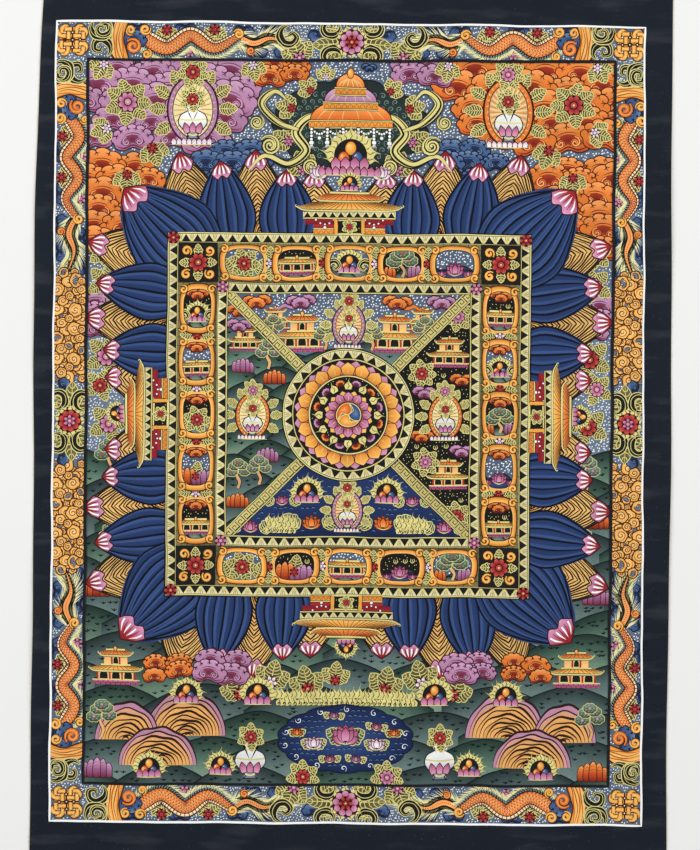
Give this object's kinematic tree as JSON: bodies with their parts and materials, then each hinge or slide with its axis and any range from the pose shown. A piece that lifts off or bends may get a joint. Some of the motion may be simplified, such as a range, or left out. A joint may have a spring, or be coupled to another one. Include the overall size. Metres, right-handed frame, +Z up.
{
  "type": "painted thangka canvas",
  "caption": "Rectangular sheet of primed cotton canvas, painted on its face inside a dark bare margin, lying flat with slightly risen free edges.",
  "frame": {"origin": "on the resting surface, under the middle of the sheet's outline", "axes": "+Z up out of the painted face, +Y towards the picture's top edge, +X towards its right edge"},
  "size_m": [0.6085, 0.8303, 0.0046],
  "materials": {
    "painted_cotton": "matt gouache on primed cotton"
  },
  "bodies": {
    "root": {"painted_canvas": "painted_cotton"}
  },
  "joints": []
}
